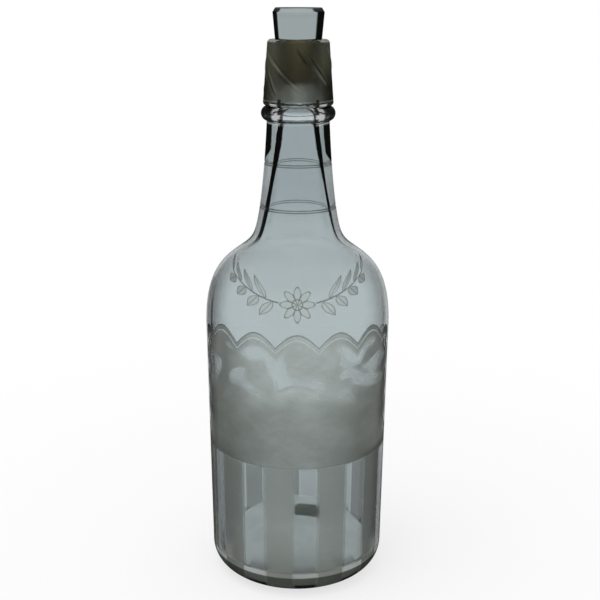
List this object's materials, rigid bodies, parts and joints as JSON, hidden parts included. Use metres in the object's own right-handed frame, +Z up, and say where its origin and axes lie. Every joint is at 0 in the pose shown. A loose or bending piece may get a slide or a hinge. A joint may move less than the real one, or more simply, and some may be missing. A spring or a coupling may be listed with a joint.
{
  "type": "stoppered glass decanter",
  "caption": "Tall round-shouldered glass decanter with a frosted and striped body, a long neck with an applied ring and tapered collar, and a lift-out glass stopper on a cork.",
  "frame": {"origin": "centre of the flat resting ring under the base", "axes": "+Z up along the bottle's axis towards the stopper, -Y towards the front that the picture shows"},
  "size_m": [0.09, 0.09, 0.2789],
  "materials": {
    "clear_glass": "polished",
    "ground_glass": "matte",
    "cork": "matte",
    "paper": "matte"
  },
  "bodies": {
    "bottle": {"bottle_body": "clear_glass", "string_ring": "clear_glass", "lip_collar": "ground_glass", "base_label": "paper"},
    "stopper": {"stopper_glass": "clear_glass", "stopper_cork": "cork"}
  },
  "joints": [
    {"name": "stopper_lift", "type": "slide", "parent": "bottle", "child": "stopper", "axis": [0, 0, 1], "range_m": [0, 0.06]}
  ]
}
